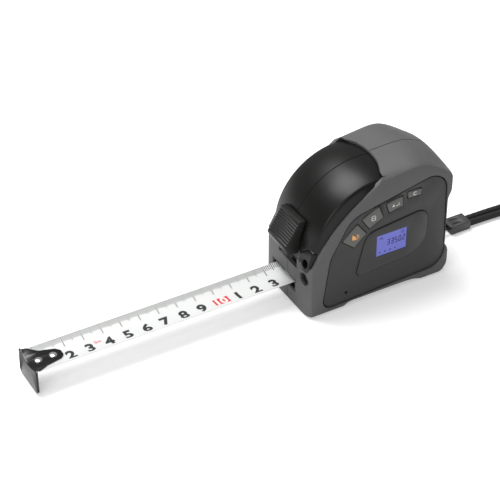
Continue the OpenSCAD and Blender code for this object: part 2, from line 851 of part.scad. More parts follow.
// A closed loop of string from the pin to the joint's bar, tilted down to the joint
module strap_string() {
    loop_r = pin_r + string_r + 0.15;
    run_l = joint_bar_x - pin_x;
    drop = string_z - joint_h / 2;
    color([0.1, 0.1, 0.1]) place()
        translate([pin_x, strap_y, string_z]) rotate([0, atan2(drop, run_l), 0]) {
        l = norm([run_l, drop]);
        rotate([0, 0, 90]) rotate_extrude(angle = 180) translate([loop_r, 0]) circle(r = string_r);
        translate([l, 0, 0]) rotate([0, 0, -90]) rotate_extrude(angle = 180)
            translate([loop_r, 0]) circle(r = string_r);
        for (s = [-1, 1]) translate([0, s * loop_r, 0]) rotate([0, 90, 0]) cylinder(r = string_r, h = l);
    }
}

// The moulded joint between string and strap, with two slots in its top
module strap_joint() {
    x1 = joint_x + joint_l;
    color([0.25, 0.25, 0.25]) place() difference() {
        union() {
            difference() {
                block(joint_x, x1, strap_y - joint_w / 2, strap_y + joint_w / 2, 0.05, joint_h);
                block(joint_x - 1, joint_x + 5.6, strap_y - 2.9, strap_y + 2.9, 1, joint_h - 1);
            }
            translate([joint_bar_x, strap_y, 0.5]) cylinder(r = pin_r, h = joint_h - 1);
        }
        for (s = [-1, 1]) {
            block(joint_x + 2.4, joint_x + 7.4, strap_y + s * 1.7 - 0.5, strap_y + s * 1.7 + 0.5,
                joint_h - 0.7, joint_h + 1);
        }
        for (s = [-1, 1]) rod_x(strap_d / 2 + 0.06, x1 - 1.85, x1 + 1, strap_y + s * leg_y, leg_z);
        block(x1 - 1.85, x1 + 1, strap_y - leg_y, strap_y + leg_y, leg_z - 1, leg_z + 1);
    }
}

// A round tube along a route: one ring of points at each stop
module tube(route, r, sides = 8) {
    n = len(route);
    function dir(i) = let (d = route[min(i + 1, n - 1)] - route[max(i - 1, 0)]) d / norm(d);
    function ring(i) = let (d = dir(i), s = [-d[1], d[0], 0] / norm([d[0], d[1]]), u = cross(d, s))
        [for (k = [0:sides - 1]) let (a = 360 * (k + 0.5) / sides)
            route[i] + r * (cos(a) * s + sin(a) * u)];
    polyhedron(
        points = [for (i = [0:n - 1]) each ring(i)],
        faces = concat(
            [[for (k = [0:sides - 1]) k]],
            [for (i = [0:n - 2]) for (k = [0:sides - 1]) let (m = (k + 1) % sides)
                each [[i * sides + k, (i + 1) * sides + k, i * sides + m],
                      [i * sides + m, (i + 1) * sides + k, (i + 1) * sides + m]]],
            [[for (k = [sides - 1:-1:0]) (n - 1) * sides + k]]
        )
    );
}

module strap_cord() {
    color([0.07, 0.07, 0.07]) place() translate([body_l - route_for[0], strap_y - route_for[1], 0])
        tube(strap_route, strap_d / 2);
}

case_left();
case_right();
grip_left();
grip_right();
keypad_panel();
plain_panel();
display_lens();
display_glass();
backlight();
key_laser();
key_volume();
key_reference();
key_clear();
key_switches();
main_board();
battery_cell();
buzzer();
charge_socket();
laser_module();
laser_diode();
laser_window();
receiver_lens();
inner_wall();
reel_axle();
reel_drum();
reel_flange();
tape_coil();
power_spring();
blade();
hook();
hook_rivets();
mouth_guard();
lock_slider();
lock_shoe();
case_screws();
strap_pin();
strap_string();
strap_joint();
strap_cord();
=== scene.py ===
"""Looks of a laser distance meter with a pull-out tape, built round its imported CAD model.

+X runs to the rear, the display side faces -Y and +Z is up. Sizes in the code are millimetres
from the body's front face, and at() turns them into metres in the frame.
"""

import json
import math

import bmesh
import bpy
import mathutils.geometry
import numpy as np
from mathutils import Matrix, Vector


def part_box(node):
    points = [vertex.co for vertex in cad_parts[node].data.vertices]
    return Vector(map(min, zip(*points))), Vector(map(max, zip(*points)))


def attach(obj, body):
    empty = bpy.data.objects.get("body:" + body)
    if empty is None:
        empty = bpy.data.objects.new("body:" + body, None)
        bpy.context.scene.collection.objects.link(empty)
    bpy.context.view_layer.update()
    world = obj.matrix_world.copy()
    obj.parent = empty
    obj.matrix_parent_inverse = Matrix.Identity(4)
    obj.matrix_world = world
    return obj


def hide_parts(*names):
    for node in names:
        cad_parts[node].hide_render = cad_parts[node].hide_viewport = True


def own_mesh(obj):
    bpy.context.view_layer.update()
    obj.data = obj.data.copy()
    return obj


bl_info = {
    "name": "Laser distance meter",
    "version": (1, 0, 0),
    "blender": (4, 5, 0),
    "location": "3D Viewport > Sidebar > Distance Meter",
    "description": "Builds the visible pieces, finishes and stage of a laser distance meter",
    "category": "Object",
}

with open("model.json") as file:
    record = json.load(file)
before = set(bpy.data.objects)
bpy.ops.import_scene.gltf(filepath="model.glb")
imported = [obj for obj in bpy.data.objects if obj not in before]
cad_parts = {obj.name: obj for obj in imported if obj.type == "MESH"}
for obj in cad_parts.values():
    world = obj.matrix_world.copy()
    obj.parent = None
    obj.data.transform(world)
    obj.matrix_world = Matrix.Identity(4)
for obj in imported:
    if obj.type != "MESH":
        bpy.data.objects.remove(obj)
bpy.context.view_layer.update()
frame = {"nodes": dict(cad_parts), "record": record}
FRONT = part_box("grip_left")[0].x  # the body's front face, in metres


def at(x, y, z):
    """A point given in millimetres from the body's front face, in the frame's metres."""
    return Vector((FRONT + x / 1000, y / 1000, z / 1000))


# ---------------------------------------------------------------- finishes


def linear(code):
    """An sRGB hex colour as linear red, green, blue and alpha."""
    parts = [int(code[i : i + 2], 16) / 255 for i in (1, 3, 5)]
    return tuple(c / 12.92 if c <= 0.04045 else ((c + 0.055) / 1.055) ** 2.4 for c in parts) + (1.0,)


def add(tree, kind, settings=(), inputs=()):
    """Adds a node to a tree, with its settings, and its inputs as values or other nodes' outputs."""
    made = tree.nodes.new(kind)
    for name, value in dict(settings).items():
        setattr(made, name, value)
    for name, value in dict(inputs).items():
        if isinstance(value, bpy.types.NodeSocket):
            tree.links.new(value, made.inputs[name])
        else:
            made.inputs[name].default_value = value
    return made


def finish(name, dark, pale, patch, grain, depth, shader):
    """A material whose colour drifts between two hex colours in soft patches, over a fine grain.

    patch and grain are sizes in millimetres, depth is the grain's height in millimetres, and
    shader holds the surface's own values.
    """
    material = bpy.data.materials.new(name)
    material.use_nodes = True
    tree = material.node_tree
    tree.nodes.clear()
    place = add(tree, "ShaderNodeTexCoord")
    soft = add(tree, "ShaderNodeTexNoise", {}, {
        "Vector": place.outputs["Object"], "Scale": 1000 / patch, "Detail": 3.0, "Roughness": 0.6,
    })
    colour = add(tree, "ShaderNodeMix", {"data_type": "RGBA"}, {
        0: soft.outputs["Fac"], 6: linear(dark), 7: linear(pale),
    })
    fine = add(tree, "ShaderNodeTexNoise", {}, {
        "Vector": place.outputs["Object"], "Scale": 1000 / grain, "Detail": 2.0,
    })
    bump = add(tree, "ShaderNodeBump", {}, {
        "Height": fine.outputs["Fac"], "Strength": 1.0, "Distance": depth / 1000,
    })
    surface = add(tree, "ShaderNodeBsdfPrincipled", {}, {
        "Base Color": colour.outputs[2], "Normal": bump.outputs["Normal"], **shader,
    })
    add(tree, "ShaderNodeOutputMaterial", {}, {"Surface": surface.outputs["BSDF"]})
    return material


FINISHES = {
    "black_abs": ("Gloss black ABS", "#090908", "#0c0c0b", 6, 0.5, 0.002, {"Roughness": 0.36, "IOR": 1.54, "Specular IOR Level": 0.22}),
    "grey_rubber": ("Grey TPE overmould", "#4f4f50", "#545455", 5, 0.35, 0.03, {"Roughness": 0.6, "IOR": 1.5}),
    "panel_abs": ("Textured dark ABS", "#1f1f20", "#222223", 5, 0.3, 0.02, {"Roughness": 0.45, "IOR": 1.54, "Specular IOR Level": 0.4}),
    "dark_window": ("Tinted acrylic", "#242424", "#272626", 9, 4, 0.002, {"Roughness": 0.3, "IOR": 1.49, "Specular IOR Level": 0.4}),
    "lcd": ("Backlit liquid crystal", "#6b70d0", "#7176d8", 6, 2, 0.001, {"Roughness": 0.3}),
    "light_guide": ("Clear acrylic guide", "#dfe4ee", "#e8edf6", 6, 2, 0.001, {"Roughness": 0.2}),
    "key_rubber": ("Silicone keys", "#5a5a57", "#62625e", 2, 0.3, 0.02, {"Roughness": 0.6}),
    "switch_steel": ("Stamped steel", "#a8a8a8", "#b4b4b4", 2, 0.3, 0.01, {"Metallic": 1.0, "Roughness": 0.35}),
    "circuit_board": ("Solder mask", "#0f4023", "#124a29", 2, 0.5, 0.01, {"Roughness": 0.4}),
    "cell_foil": ("Laminate pouch", "#b9bbbf", "#c2c4c8", 5, 2, 0.1, {"Metallic": 1.0, "Roughness": 0.4}),
    "inner_plastic": ("Moulded black plastic", "#161616", "#1a1a1a", 4, 0.4, 0.02, {"Roughness": 0.5}),
    "optic_metal": ("Black anodised aluminium", "#2c2c2e", "#303033", 3, 0.2, 0.01, {"Metallic": 1.0, "Roughness": 0.45}),
    "brass": ("Turned brass", "#b89450", "#c29d58", 2, 0.2, 0.01, {"Metallic": 1.0, "Roughness": 0.3}),
    "laser_glass": ("Dark optical plastic", "#070405", "#0a0506", 3, 2, 0.001, {"Roughness": 0.12, "Specular IOR Level": 0.3}),
    "bright_steel": ("Bright plated steel", "#c4c4c2", "#d2d2d0", 2, 0.3, 0.004, {"Metallic": 1.0, "Roughness": 0.22}),
    "blade_steel": ("White lacquered steel", "#cfd0cf", "#d4d5d4", 9, 2, 0.002, {"Roughness": 0.3}),
    "spring_steel": ("Blued spring steel", "#50525c", "#5c5e69", 4, 0.3, 0.01, {"Metallic": 1.0, "Roughness": 0.3}),
    "hook_black": ("Black enamel", "#0b0b0b", "#0e0e0e", 5, 3, 0.004, {"Roughness": 0.22, "Specular IOR Level": 0.35}),
    "slider_abs": ("Fine matte ABS", "#0f0f0e", "#131311", 3, 0.3, 0.015, {"Roughness": 0.45, "Specular IOR Level": 0.28}),
    "brake_rubber": ("Brake rubber", "#4a3428", "#523a2d", 2, 0.4, 0.03, {"Roughness": 0.8}),
    "strap_braid": ("Braided polyester", "#141414", "#1c1c1c", 2, 0.3, 0.03, {"Roughness": 0.8}),
    "strap_plastic": ("Moulded soft plastic", "#3c3c3d", "#404041", 3, 0.4, 0.02, {"Roughness": 0.5}),
    # Also the finish of the painted shade: the black sheets that darken the strap joint's slots.
    "print_black": ("Black print and painted shade", "#141414", "#1a1a1a", 3, 1, 0.001, {"Roughness": 0.45}),
    "print_blue": ("Dark liquid crystal", "#1c1d78", "#202184", 3, 1, 0.001, {"Roughness": 0.4}),
    "print_white": ("White print", "#d8d8d4", "#e0e0dc", 3, 1, 0.001, {"Roughness": 0.5}),
    "print_orange": ("Orange print", "#f0a860", "#f5b06a", 3, 1, 0.001, {"Roughness": 0.5}),
    "print_red": ("Red print", "#c81f28", "#cf262f", 3, 1, 0.001, {"Roughness": 0.4}),
}


def made_of(slot):
    """The finish of one of the record's material slots, made when it is first asked for."""
    row = FINISHES[slot]
    return bpy.data.materials.get(row[0]) or finish(*row)


# ---------------------------------------------------------------- shapes


def settle(name, mesh, slot, body="case", instead=(), crease=30, outward=True):
    """Turns a mesh in the frame's metres into a finished piece that rides on a body."""
    if outward:
        shape = bmesh.new()
        shape.from_mesh(mesh)
        bmesh.ops.recalc_face_normals(shape, faces=shape.faces)
        shape.to_mesh(mesh)
        shape.free()
    mesh.materials.clear()
    mesh.materials.append(made_of(slot))
    for face in mesh.polygons:
        face.use_smooth = True
        face.material_index = 0
    mesh.set_sharp_from_angle(angle=math.radians(crease))
    mesh.name = name
    made = bpy.data.objects.new(name, mesh)
    bpy.context.scene.collection.objects.link(made)
    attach(made, body)
    if instead:
        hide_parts(*instead)
    return made


def raw(points, faces):
    """A mesh from points in millimetres, still in millimetres."""
    mesh = bpy.data.meshes.new("raw")
    mesh.from_pydata([tuple(map(float, p)) for p in points], [], faces)
    return mesh


def placed(mesh):
    """Takes a mesh from millimetres from the front face to the frame's metres."""
    mesh.transform(Matrix.Translation((FRONT, 0, 0)) @ Matrix.Scale(0.001, 4))
    return mesh


def loft(rings):
    """Rings of equal counts joined one to the next, with the first and the last filled."""
    n = len(rings[0])
    points = [p for ring in rings for p in ring]
    faces = [
        (k * n + i, k * n + (i + 1) % n, (k + 1) * n + (i + 1) % n, (k + 1) * n + i)
        for k in range(len(rings) - 1) for i in range(n)
    ]
    faces += [tuple(range(n))[::-1], tuple(range(len(points) - n, len(points)))]
    return raw(points, faces)


def grow(loop, by):
    """A closed outline moved outwards by a distance, or inwards by a negative one."""
    p = np.array(loop, float)
    d = np.roll(p, -1, 0) - p
    d /= np.linalg.norm(d, axis=1)[:, None]
    n1 = np.stack([d[:, 1], -d[:, 0]], 1)
    n0 = np.roll(n1, 1, 0)
    if np.sum(p[:, 0] * np.roll(p[:, 1], -1) - np.roll(p[:, 0], -1) * p[:, 1]) < 0:
        by = -by
    miter = (n0 + n1) / np.maximum(0.5, 1 + np.sum(n0 * n1, 1))[:, None]
    return p + by * miter


def slab(outline, steps):
    """An outline in x and z made solid through steps of (y, growth)."""
    return loft([[(x, y, z) for x, z in grow(outline, g)] for y, g in steps])


def block(x0, x1, y0, y1, z0, z1):
    return slab([(x0, z0), (x1, z0), (x1, z1), (x0, z1)], [(y0, 0), (y1, 0)])


def hull(circles, steps=48):
    """The outline round several circles, each given as x, z and radius."""
    turn = [2 * math.pi * k / steps for k in range(steps)]
    cloud = [Vector((x + r * math.cos(a), z + r * math.sin(a))) for x, z, r in circles for a in turn]
    return [tuple(cloud[i]) for i in mathutils.geometry.convex_hull_2d(cloud)]


def rounded(corners, steps=4):
    """A closed outline whose corners, given as values and a cut last, are rounded by that cut."""
    c = np.array(corners, float)
    out = []
    for i in range(len(c)):
        p, here, q = c[i - 1], c[i], c[(i + 1) % len(c)]
        a, b = p[:-1] - here[:-1], q[:-1] - here[:-1]
        la, lb = np.linalg.norm(a[:2]), np.linalg.norm(b[:2])
        start = here[:-1] + a * min(here[-1] / la, 0.49)
        end = here[:-1] + b * min(here[-1] / lb, 0.49)
        for k in range(steps + 1):
            t = k / steps
            out.append((1 - t) ** 2 * start + 2 * t * (1 - t) * here[:-1] + t * t * end)
    return np.array(out)


def carve(mesh, cutters):
    """The mesh less each cutter, all in millimetres."""
    scene = bpy.context.scene.collection
    base = bpy.data.objects.new("base", mesh)
    scene.objects.link(base)
    tools = []
    for cutter in cutters:
        shape = bmesh.new()
        shape.from_mesh(cutter)
        bmesh.ops.recalc_face_normals(shape, faces=shape.faces)
        shape.to_mesh(cutter)
        shape.free()
        tool = bpy.data.objects.new("tool", cutter)
        scene.objects.link(tool)
        tools.append(tool)
        cut = base.modifiers.new("cut", "BOOLEAN")
        cut.operation, cut.solver, cut.object = "DIFFERENCE", "EXACT", tool
    shape = bmesh.new()
    shape.from_mesh(mesh)
    bmesh.ops.recalc_face_normals(shape, faces=shape.faces)
    shape.to_mesh(mesh)
    shape.free()
    seen = base.evaluated_get(bpy.context.evaluated_depsgraph_get())
    result = bpy.data.meshes.new_from_object(seen)
    for done in [base, *tools]:
        bpy.data.objects.remove(done)
    shape = bmesh.new()
    shape.from_mesh(result)
    bmesh.ops.remove_doubles(shape, verts=shape.verts, dist=0.004)
    bmesh.ops.dissolve_degenerate(shape, edges=shape.edges, dist=0.004)
    bmesh.ops.triangulate(shape, faces=[f for f in shape.faces if len(f.verts) > 4])
    shape.to_mesh(result)
    shape.free()
    return result


def mirrored(mesh, side):
    if side > 0:
        mesh.transform(Matrix.Scale(-1, 4, (0, 1, 0)))
    return mesh


def merged_copy(node):
    """A CAD node's mesh as one joined surface."""
    shape = bmesh.new()
    shape.from_mesh(frame["nodes"][node].data)
    bmesh.ops.remove_doubles(shape, verts=shape.verts, dist=4e-6)
    bmesh.ops.dissolve_limit(
        shape, angle_limit=math.radians(0.6), verts=shape.verts, edges=shape.edges
    )
    return shape


def softened(name, node, slot, body, width, least=0.3, keep=None, cutters=(), segments=2):
    """A moulded piece: the CAD node with its long edges rolled over by a width in millimetres."""
    shape = merged_copy(node)
    edges = [
        e for e in shape.edges
        if e.is_manifold and e.calc_face_angle(0) > math.radians(28)
        and e.calc_length() > least / 1000 and (keep is None or keep(e))
    ]
    bmesh.ops.bevel(
        shape, geom=edges, offset=width / 1000, segments=segments, profile=0.5,
        affect="EDGES", clamp_overlap=False, loop_slide=True,
    )
    bmesh.ops.triangulate(shape, faces=[f for f in shape.faces if len(f.verts) > 4])
    mesh = bpy.data.meshes.new(name)
    shape.to_mesh(mesh)
    shape.free()
    if cutters:
        mesh.transform(Matrix.Scale(1000, 4) @ Matrix.Translation((-FRONT, 0, 0)))
        mesh = placed(carve(mesh, cutters))
    return settle(name, mesh, slot, body, (node,), crease=35)


# ---------------------------------------------------------------- cover and grips

HALF = 21.35
COVER_AT = (38.9, 34.3)


def step_at(y):
    """Where the grip starts on top, behind the cover."""
    return float(np.interp(abs(y), [0, 5, 9, 13, 16, 20], [45.1, 44.8, 44.0, 42.5, 41.0, 40.6]))


def channel():
    """The slot that the lock slider runs in."""
    length = 18 / 0.975
    box = block(-20, 0, -8.65, 8.65, -length - 6, 3)
    turn = Matrix.Rotation(math.atan2(0.22, 0.975), 4, "Y")
    box.transform(Matrix.Translation((4.6 + 0.15, 0, 51)) @ turn)
    return box


def bore(r, x0, x1, y, z, steps=40):
    turn = [2 * math.pi * k / steps for k in range(steps)]
    return loft([[(x, y + r * math.cos(a), z + r * math.sin(a)) for a in turn] for x in (x0, x1)])


def cover(side):
    """One half of the round front cover, a moulded shell with its side rolled over to a groove."""
    looks = bpy.context.scene.meter_looks
    big, crown = looks.cover_radius * 1000, looks.cover_crown * 1000
    turns = [188, 179, 170, 160, 149.5, 138.2, 126.9, 111.8, 99.6, 89.8, 70]
    groove = [35.8, 34.4, 32.2, 30.2, 29.0, 28.2, 28.2, 29.1, 31.75, 34.9, 35]
    ys = [0.02, 0.26, 2, 4, 6, 8, 10, 12, 14, 15.5, 17, 18, 18.6]

    def profile(turn):
        low = min(np.interp(-turn, [-t for t in turns], groove), 33.7)
        outer = [(y, big - crown * (y / 19) ** 2.5 - (0.3 if y < 0.1 else 0)) for y in ys]
        outer += [(19.0, 35.2), (19.32, 34.85), (19.5, 34.35)]
        outer += [(19.5 + 1.0 * s, 34.35 + (low - 34.35) * s) for s in (0.2, 0.45, 0.7, 0.9, 1.0)]
        outer += [(20.35, low - 0.35), (19.5, low - 0.7)]
        inner = [(min(y, 18.2), r - 1.3) for y, r in outer]
        return outer + inner[::-1]

    rings = []
    for k in range(73):
        ring = []
        for y, r in profile(188 - 108 * k / 72):
            end = math.degrees(math.acos(min(1, (step_at(y) + 0.9 - COVER_AT[0]) / r)))
            a = math.radians(188 + (end - 188) * k / 72)
            ring.append((COVER_AT[0] + r * math.cos(a), -y, COVER_AT[1] + r * math.sin(a)))
        rings.append(ring)
    cutters = [channel()]
    if side < 0:
        cutters.append(bore(3.02, -3, 14, -15.4, 31))
    return mirrored(carve(loft(rings), cutters if side < 0 else [mirrored(c, side) for c in cutters]), side)


def tucked_case(node):
    """The moulded half under the cover, drawn in a little where the cover lies on it."""
    shape = merged_copy(node)
    for v in shape.verts:
        x, y, z = (v.co.x - FRONT) * 1000, abs(v.co.y) * 1000, v.co.z * 1000
        if x < 46 and z > 28.5:
            dx, dz = x - COVER_AT[0], z - COVER_AT[1]
            most = 37.95 - 2.6 * (min(y, 19) / 19) ** 2.5 - 0.55
            if y > 18.6:
                most = 27.5
            r = math.hypot(dx, dz)
            if r > most and (dx < 0 or dz > 25):
                v.co = at(COVER_AT[0] + dx * most / r, v.co.y * 1000, COVER_AT[1] + dz * most / r)
    return shape


def grip(side):
    """One half of the moulded-over grip, lofted across the body and then cut out."""
    rim = np.array([
        (0, 0, 0, 0.9), (20.5, 0, 0, 1), (22.5, 1.4, 0, 1), (25, 1.8, 0, 1),
        (55, 1.8, 0, 2), (61, 1.4, 0, 2), (65, 0, 0, 1), (77, 0, 0, 1), (79, 1, 0, 1.2),
        (81, 3.6, 0, 1.4), (82, 6, 0, 1.2), (82, 14.6, 0, 0.5), (80, 16, 0, 0.6), (80, 46, 0, 1.5),
        (82, 50.3, 0, 1.5), (82, 59.3, 0.2, 1.5), (81.2, 62.2, 1.6, 2), (79, 65.6, 3, 2),
        (76.1, 68.6, 3.6, 2.5), (70.1, 71.4, 2.3, 3), (64.6, 73.5, 1.4, 3), (58.4, 73.85, 0.5, 3),
        (52, 73.6, 0.7, 3), (47, 73.4, 0.9, 3), (40, 73.1, 1.2, 2), (0, 73.0, 0, 1),
    ], float)
    rows = [
        (0.02, 0.4), (0.36, 0), (5, 0), (10, 0.02), (14, 0.06), (16.5, 0.14), (18, 0.3), (19.2, 0.55),
        (20.2, 0.85), (20.9, 1.15), (21.25, 1.45), (HALF, 1.8),
    ]
    rings = []
    for y, inset in rows:
        ring = []
        for x, z, drop in rounded(np.column_stack([grow(rim[:, :2], -inset), rim[:, 2:]])):
            fall = drop * min(1, y / 17) ** 2
            fall += min(1, max(0, (62 - x) / 20)) * (z > 69) * max(0, y - 18) / 3.35 * 0.9
            ring.append((x, -y, z - fall))
        rings.append(ring)
    parting = [
        (1.0, 29.6), (2.7, 32.6), (6.7, 40.65), (13.4, 49.75), (21.5, 57.55), (27.6, 62.05),
        (33.1, 66.35), (38.5, 69.95), (40.9, 71.7),
    ]
    line = rounded([(x, z, 3.0) for x, z in [*parting, (40.9, 95), (-9, 95), (-9, 29.6)]])[:, :2]
    line = np.array([p for i, p in enumerate(line) if i == 0 or np.hypot(*(p - line[i - 1])) > 0.02])
    outer_cut = slab(line, [(-24, 1.9), (-20.95, 0.0), (-19.2, 0)])
    core = slab([
        (2, 3.8), (78, 3.8), (78, 56.5), (79.2, 58.8), (76.8, 60.9), (71, 65), (65.6, 68.2),
        (60, 70.6), (43, 71.2), (36, 71.2), (2, 31),
    ], [(-19.35, 0), (3, 0)])
    ys = np.linspace(-19.36, 2, 18)
    top = loft([
        [(-9, ys[0], z), *[(step_at(y) + f, y, z) for y in ys], (-9, ys[-1], z)]
        for z, f in [(30.1, 0), (72.75, 0), (90, 17.25)]
    ])
    recess = slab(
        hull([(13.5, 8.5, 5), (69.5, 15, 9), (67.5, 52.5, 10), (31, 42.5, 12), (24, 29, 12.5)]),
        [(-24, 3.4), (-20.9, 0.5), (-19.3, 0.5)],
    )
    mouth = block(-3, 9, 3.5 - 11.3, 3.5 + 11.3, 8.5, 16.3)
    pulled = block(74, 90, 3, 9.8, 4.9, 10.1)
    cutters = [outer_cut, core, top, recess]
    own = [channel(), block(-6, 2.6, -8.65, 8.65, 24, 34.5), mouth, pulled]
    if side < 0:
        own += [
            bore(3.6, -3, 4, -15.4, 22), bore(3.02, -3, 4, -15.4, 31),
            block(70, 90, -15.15, -12.15, 22.9, 31.1),
        ]
    cutters += [mirrored(c, side) for c in own]
    return mirrored(carve(loft(rings), cutters), side)


# ---------------------------------------------------------------- blade

TAPE_Y, BLADE_MIDDLE, ZERO = 3.5, 31.4, -137.6


def bent(x, s, lift=0.0):
    """A point on the blade's upper face, s across it from its middle, raised by lift."""
    a = s / 20.0
    r = 20.0 - lift
    flat = min(1, max(0, (x - 29) / 12))
    z = BLADE_MIDDLE - r * math.cos(a)
    return (x, TAPE_Y + r * math.sin(a), z + (11.4 + lift - z) * flat)


def pull_in(piece):
    """Gives a piece on the blade a mesh of its own."""
    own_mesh(piece)
    return piece


def ticks():
    """A Geometry Nodes tree that prints the graduations and bends them to the blade."""
    tree = bpy.data.node_groups.new("Blade graduations", "GeometryNodeTree")
    named = {}
    for name, value in [
        ("First", ZERO + 1), ("Spacing", 1.0), ("Count", 143), ("Short", 3.0), ("Middle", 4.0),
        ("Long", 6.0), ("Width", 0.4), ("Edge", 9.35), ("Radius", 19.995),
    ]:
        kind = "NodeSocketInt" if name == "Count" else "NodeSocketFloat"
        named[name] = tree.interface.new_socket(name, in_out="INPUT", socket_type=kind)
        named[name].default_value = value
    tree.interface.new_socket("Print", in_out="OUTPUT", socket_type="NodeSocketGeometry")
    given = add(tree, "NodeGroupInput")
    joined = add(tree, "GeometryNodeJoinGeometry")

    def maths(operation, a, b=0.0):
        return add(tree, "ShaderNodeMath", {"operation": operation}, {0: a, 1: b}).outputs[0]

    for length, every in (("Short", 1), ("Middle", 5), ("Long", 10)):
        gap = maths("MULTIPLY", given.outputs["Spacing"], float(every))
        count = maths("FLOOR", maths("DIVIDE", given.outputs["Count"], float(every)))
        first = maths("ADD", given.outputs["First"], maths("MULTIPLY", given.outputs["Spacing"], every - 1.0))
        start = add(tree, "ShaderNodeCombineXYZ", {}, {
            "X": first, "Y": maths("SUBTRACT", given.outputs["Edge"], maths("MULTIPLY", given.outputs[length], 0.5)),
        })
        stride = add(tree, "ShaderNodeCombineXYZ", {}, {"X": gap})
        line = add(tree, "GeometryNodeMeshLine", {"mode": "OFFSET"}, {
            "Count": count, "Start Location": start.outputs[0], "Offset": stride.outputs[0],
        })
        size = add(tree, "ShaderNodeCombineXYZ", {}, {
            "X": maths("MULTIPLY", given.outputs["Width"], 1.0 if every == 1 else 1.25),
            "Y": given.outputs[length], "Z": 0.02 + 0.001 * every,
        })
        mark = add(tree, "GeometryNodeMeshCube", {}, {"Size": size.outputs[0], "Vertices Y": 5})
        copies = add(tree, "GeometryNodeInstanceOnPoints", {}, {
            "Points": line.outputs[0], "Instance": mark.outputs["Mesh"],
        })
        real = add(tree, "GeometryNodeRealizeInstances", {}, {"Geometry": copies.outputs[0]})
        tree.links.new(real.outputs[0], joined.inputs[0])
    where = add(tree, "GeometryNodeInputPosition")
    parts = add(tree, "ShaderNodeSeparateXYZ", {}, {0: where.outputs[0]})
    angle = maths("DIVIDE", parts.outputs["Y"], 20.0)
    r = maths("SUBTRACT", given.outputs["Radius"], parts.outputs["Z"])
    spot = add(tree, "ShaderNodeCombineXYZ", {}, {
        "X": parts.outputs["X"],
        "Y": maths("ADD", maths("MULTIPLY", r, maths("SINE", angle)), TAPE_Y),
        "Z": maths("SUBTRACT", BLADE_MIDDLE, maths("MULTIPLY", r, maths("COSINE", angle))),
    })
    curve = add(tree, "GeometryNodeSetPosition", {}, {"Geometry": joined.outputs[0], "Position": spot.outputs[0]})
    whole = add(tree, "GeometryNodeRealizeInstances", {}, {"Geometry": curve.outputs[0]})
    inked = add(tree, "GeometryNodeSetMaterial", {}, {"Geometry": whole.outputs[0], "Material": made_of("print_black")})
    add(tree, "NodeGroupOutput", {}, {0: inked.outputs[0]})
    return tree, {name: socket.identifier for name, socket in named.items()}


def rivets():
    """A Geometry Nodes tree that sets two domed rivets along the hook's tongue."""
    tree = bpy.data.node_groups.new("Hook rivets", "GeometryNodeTree")
    named = {}
    for name, value in [("First", ZERO + 4.6), ("Pitch", 7.6), ("Head radius", 2.0), ("Head base", 12.45)]:
        named[name] = tree.interface.new_socket(name, in_out="INPUT", socket_type="NodeSocketFloat")
        named[name].default_value = value
    tree.interface.new_socket("Rivets", in_out="OUTPUT", socket_type="NodeSocketGeometry")
    given = add(tree, "NodeGroupInput")
    start = add(tree, "ShaderNodeCombineXYZ", {}, {"X": given.outputs["First"], "Y": TAPE_Y, "Z": given.outputs["Head base"]})
    stride = add(tree, "ShaderNodeCombineXYZ", {}, {"X": given.outputs["Pitch"]})
    line = add(tree, "GeometryNodeMeshLine", {"mode": "OFFSET"}, {"Count": 2, "Start Location": start.outputs[0], "Offset": stride.outputs[0]})
    ball = add(tree, "GeometryNodeMeshUVSphere", {}, {"Segments": 32, "Rings": 16, "Radius": given.outputs["Head radius"]})
    low = add(tree, "GeometryNodeTransform", {}, {"Geometry": ball.outputs[0], "Scale": (1, 1, 0.3)})
    shank = add(tree, "GeometryNodeMeshCylinder", {}, {"Vertices": 32, "Radius": 1.1, "Depth": 0.9})
    down = add(tree, "GeometryNodeTransform", {}, {"Geometry": shank.outputs[0], "Translation": (0, 0, -0.52)})
    one = add(tree, "GeometryNodeJoinGeometry")
    tree.links.new(low.outputs[0], one.inputs[0])
    tree.links.new(down.outputs[0], one.inputs[0])
    copies = add(tree, "GeometryNodeInstanceOnPoints", {}, {"Points": line.outputs[0], "Instance": one.outputs[0]})
    real = add(tree, "GeometryNodeRealizeInstances", {}, {"Geometry": copies.outputs[0]})
    done = add(tree, "GeometryNodeSetMaterial", {}, {"Geometry": real.outputs[0], "Material": made_of("bright_steel")})
    add(tree, "NodeGroupOutput", {}, {0: done.outputs[0]})
    return tree, {name: socket.identifier for name, socket in named.items()}


def from_nodes(name, tree, values):
    """The plain mesh that a Geometry Nodes tree makes, in millimetres."""
    holder = bpy.data.objects.new(name, bpy.data.meshes.new(name))
    bpy.context.scene.collection.objects.link(holder)
    nodes = holder.modifiers.new("nodes", "NODES")
    nodes.node_group = tree
    for key, value in values.items():
        nodes[key] = value
    seen = holder.evaluated_get(bpy.context.evaluated_depsgraph_get())
    mesh = bpy.data.meshes.new_from_object(seen)
    bpy.data.objects.remove(holder)
    return mesh


def lettering(text, size, bold=0.0, thick=0.03):
    """Flat lettering as a closed mesh in millimetres, centred, facing up."""
    curve = bpy.data.curves.new("letters", "FONT")
    curve.body = text
    curve.size = size
    curve.align_x, curve.align_y = "CENTER", "CENTER"
    curve.offset = bold
    curve.extrude = thick
    curve.resolution_u = 6
    holder = bpy.data.objects.new("letters", curve)
    bpy.context.scene.collection.objects.link(holder)
    mesh = bpy.data.meshes.new_from_object(holder.evaluated_get(bpy.context.evaluated_depsgraph_get()))
    bpy.data.objects.remove(holder)
    xy = np.array([v.co[:2] for v in mesh.vertices])
    middle = (xy.min(0) + xy.max(0)) / 2
    mesh.transform(Matrix.Translation((-middle[0], -middle[1], 0)))
    return mesh


